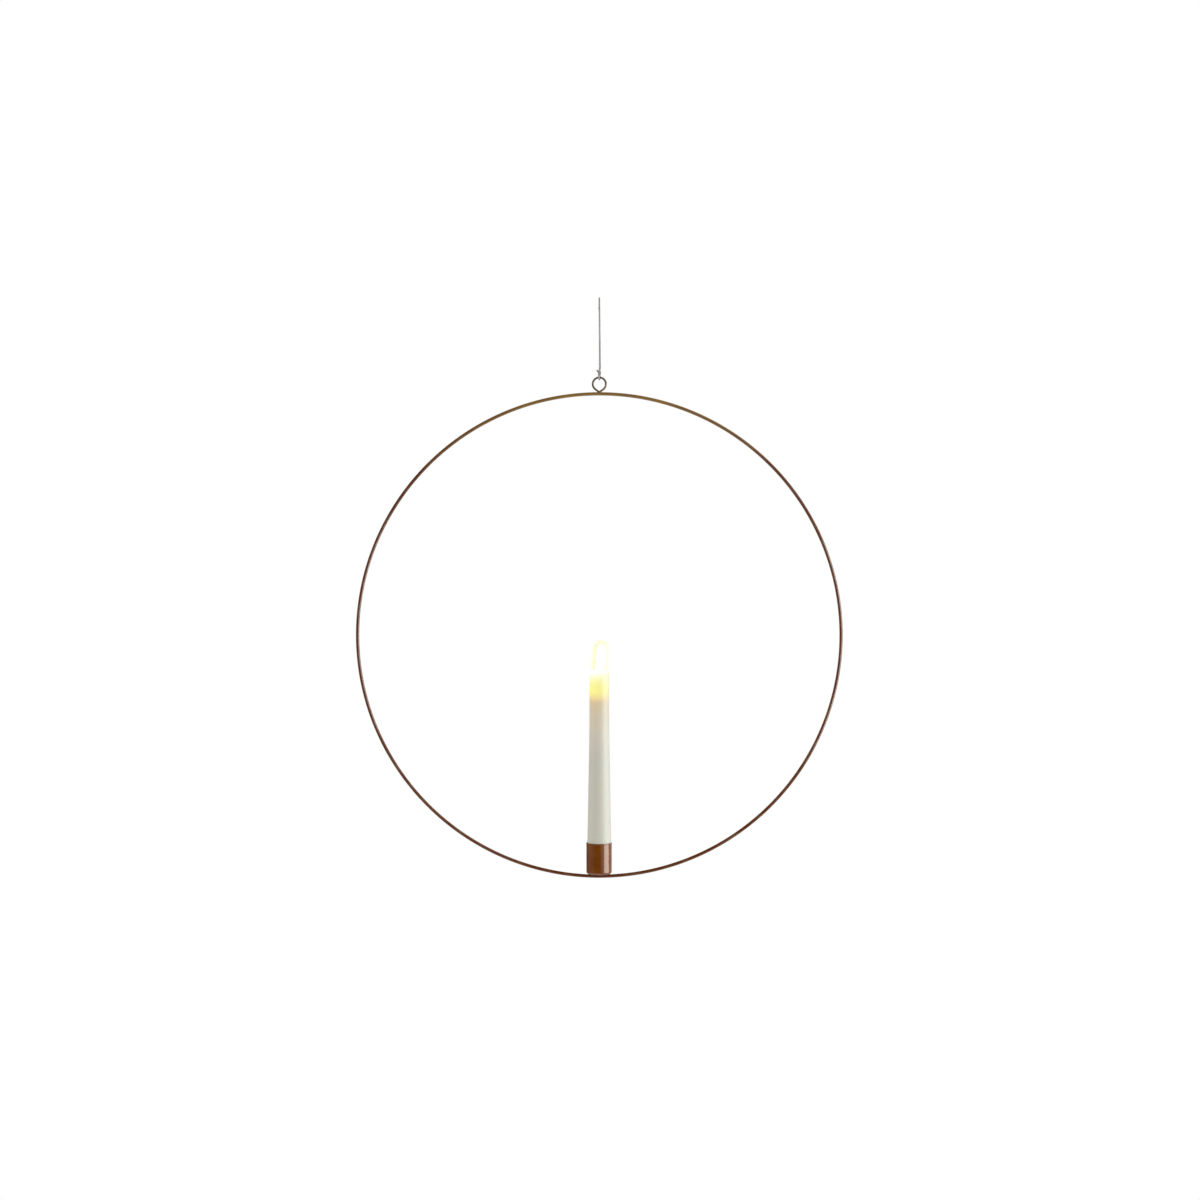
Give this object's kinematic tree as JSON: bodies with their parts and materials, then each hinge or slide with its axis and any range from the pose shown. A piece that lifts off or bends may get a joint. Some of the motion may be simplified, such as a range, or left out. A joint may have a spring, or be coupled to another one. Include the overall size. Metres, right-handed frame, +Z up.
{
  "type": "candle ring",
  "caption": "Round wire hoop hung from a string by a wire eye, with a small cup at its foot that holds a battery taper candle with a glowing frosted flame.",
  "frame": {"origin": "the point of the string's loop that a hook bears on, the inner top of the loop", "axes": "+Z up along the string, +X to the right across the hoop, which lies in the XZ plane, +Y away from the viewer"},
  "size_m": [0.45, 0.0238, 0.5374],
  "materials": {
    "antique_copper": "satin",
    "cotton_string": "matte",
    "ivory_wax": "satin",
    "lit_flame": "satin",
    "clear_led": "gloss",
    "white_plastic": "satin",
    "black_plastic": "satin",
    "green_board": "satin",
    "red_insulation": "satin",
    "nickel": "satin",
    "cell_wrap": "satin"
  },
  "bodies": {
    "hang_loop": {"string_top_loop": "cotton_string"},
    "string": {"hanging_string": "cotton_string"},
    "hitch": {"string_hitch": "cotton_string"},
    "ring": {"hoop": "antique_copper", "hanging_eye": "antique_copper", "candle_cup": "antique_copper"},
    "candle": {"wax_shell": "ivory_wax", "flame_bulb": "lit_flame", "inner_tube": "white_plastic", "led_deck": "white_plastic", "led": "clear_led", "circuit_board": "green_board", "driver_chip": "black_plastic", "positive_lead": "red_insulation", "top_contact": "nickel", "contact_strip": "nickel", "cell_upper": "cell_wrap", "cell_lower": "cell_wrap"},
    "cap": {"battery_cap": "white_plastic", "contact_spring": "nickel", "spring_plate": "nickel", "switch_body": "black_plastic"},
    "switch": {"switch_slider": "black_plastic"}
  },
  "joints": [
    {"name": "side_swing", "type": "hinge", "parent": "hang_loop", "child": "string", "pos_m": [0, 0, -0.00905], "axis": [0, 1, 0], "range_deg": [-30, 30]},
    {"name": "string_twist", "type": "hinge", "parent": "string", "child": "hitch", "pos_m": [0, 0, -0.0661], "axis": [0, 0, 1], "continuous": true},
    {"name": "ring_swing", "type": "hinge", "parent": "hitch", "child": "ring", "pos_m": [0, 0, -0.07215], "axis": [1, 0, 0], "range_deg": [-80, 80]},
    {"name": "candle_lift", "type": "slide", "parent": "ring", "child": "candle", "axis": [0, 0, 1], "range_m": [0, 0.035]},
    {"name": "battery_cap_turn", "type": "hinge", "parent": "candle", "child": "cap", "pos_m": [0, 0, -0.53128], "axis": [0, 0, 1], "range_deg": [0, 45]},
    {"name": "switch_slide", "type": "slide", "parent": "cap", "child": "switch", "axis": [1, 0, 0], "range_m": [0, 0.0025]}
  ]
}
